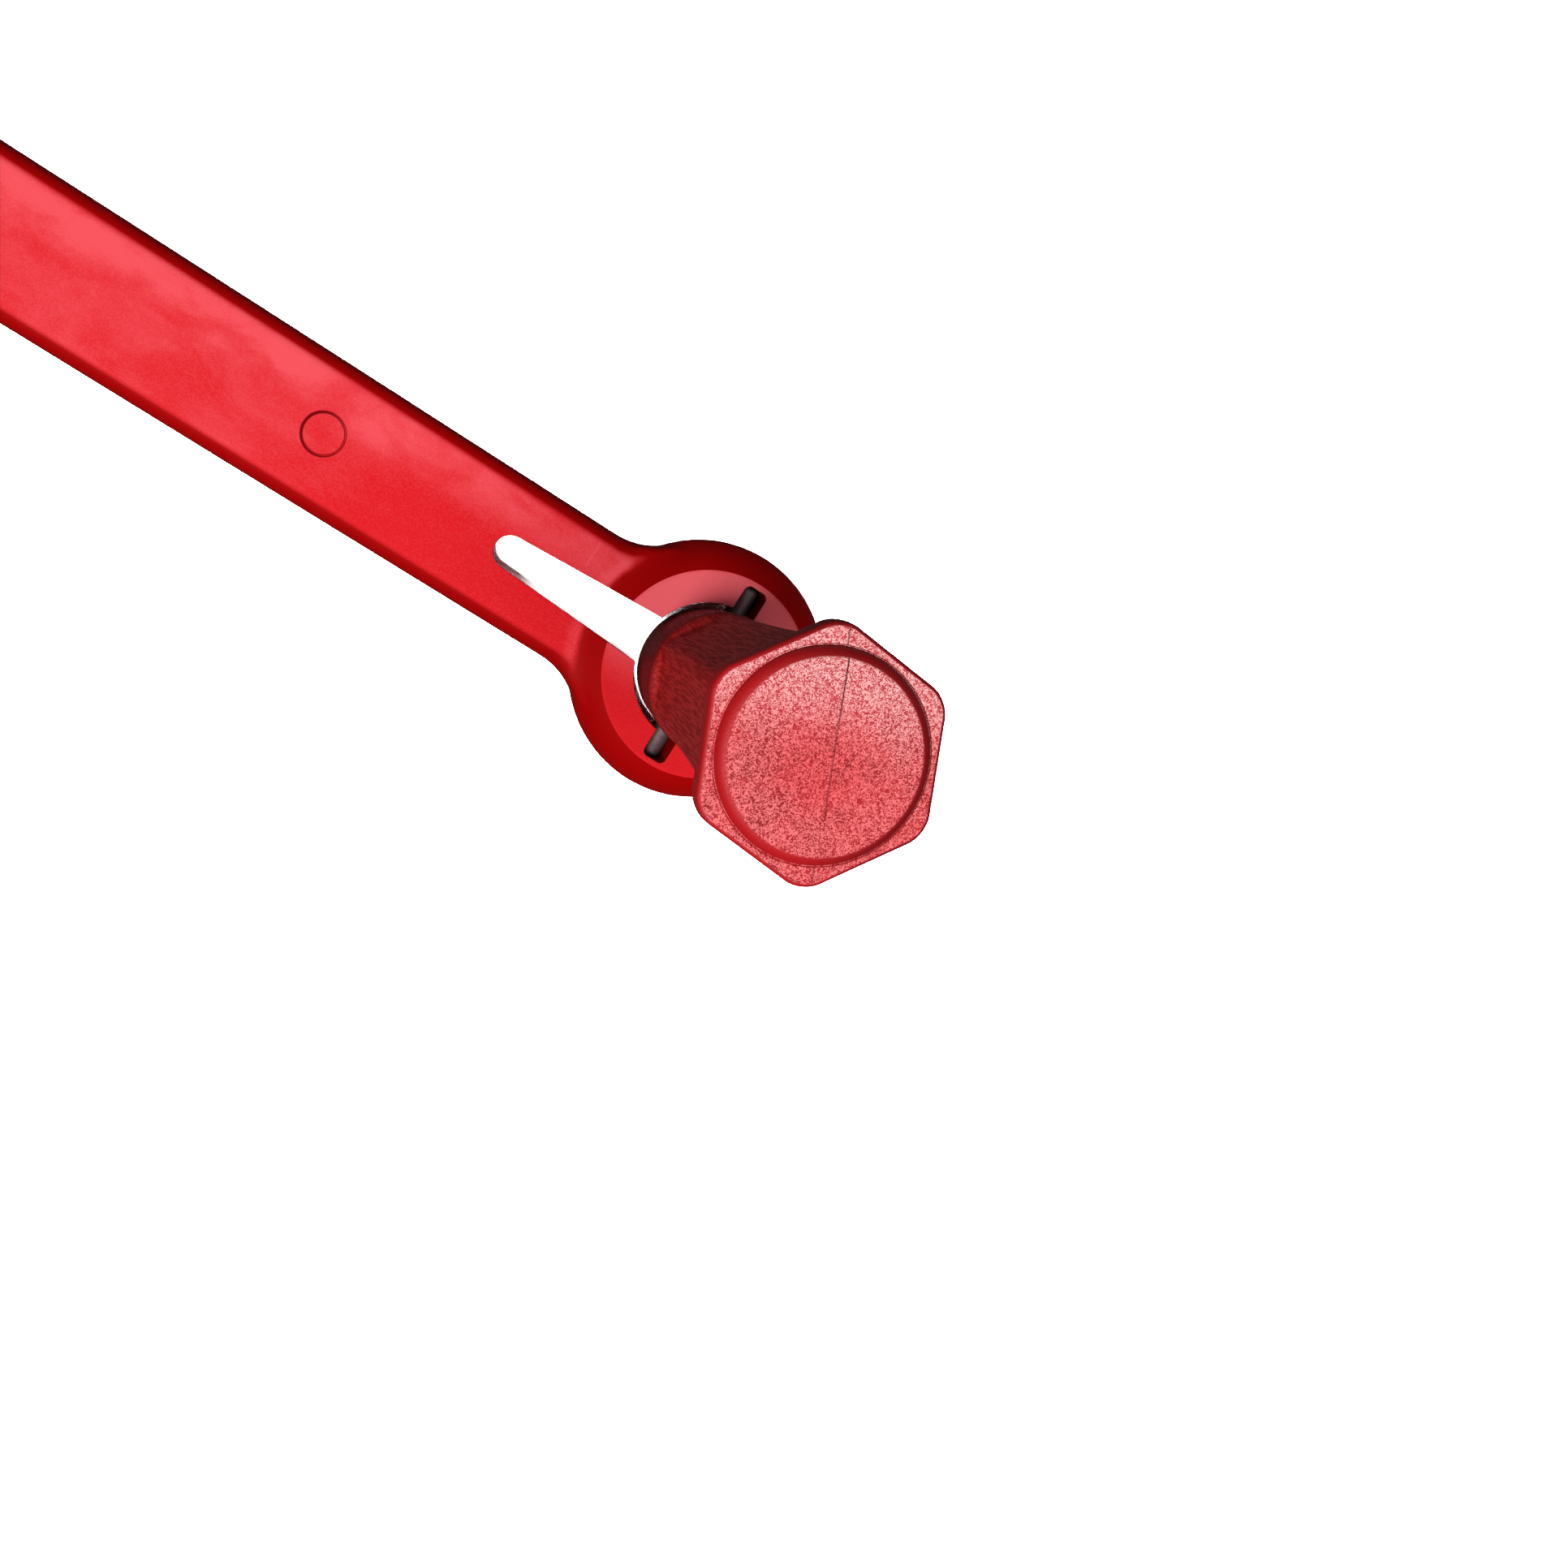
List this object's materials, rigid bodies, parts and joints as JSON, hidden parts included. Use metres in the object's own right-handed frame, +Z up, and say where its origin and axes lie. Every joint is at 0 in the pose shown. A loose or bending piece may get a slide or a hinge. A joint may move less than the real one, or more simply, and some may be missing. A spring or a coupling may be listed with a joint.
{
  "type": "fire hydrant wrench",
  "caption": "Moulded lever with a split, notched ring that turns a lift-out hexagonal drive plug through a steel cross pin.",
  "frame": {"origin": "centre of the wrench's own bounding box, on the plane that the lever rests on", "axes": "+X along the lever from the hanging eye to the ring, +Z up along the drive plug, +Y across the lever"},
  "size_m": [0.26, 0.05, 0.0978],
  "materials": {
    "lever_red": "red moulded plastic with a fine matte skin and flow marks",
    "plug_red": "red moulded plastic with a spark-eroded leather grain",
    "pin_steel": "dull dark steel, drawn bar with chamfered ends"
  },
  "bodies": {
    "lever": {"lever": "lever_red"},
    "plug": {"drive_plug": "plug_red", "cross_pin": "pin_steel"}
  },
  "joints": [
    {"name": "plug_lift", "type": "slide", "parent": "lever", "child": "plug", "axis": [0, 0, 1], "range_m": [0, 0.02]}
  ]
}
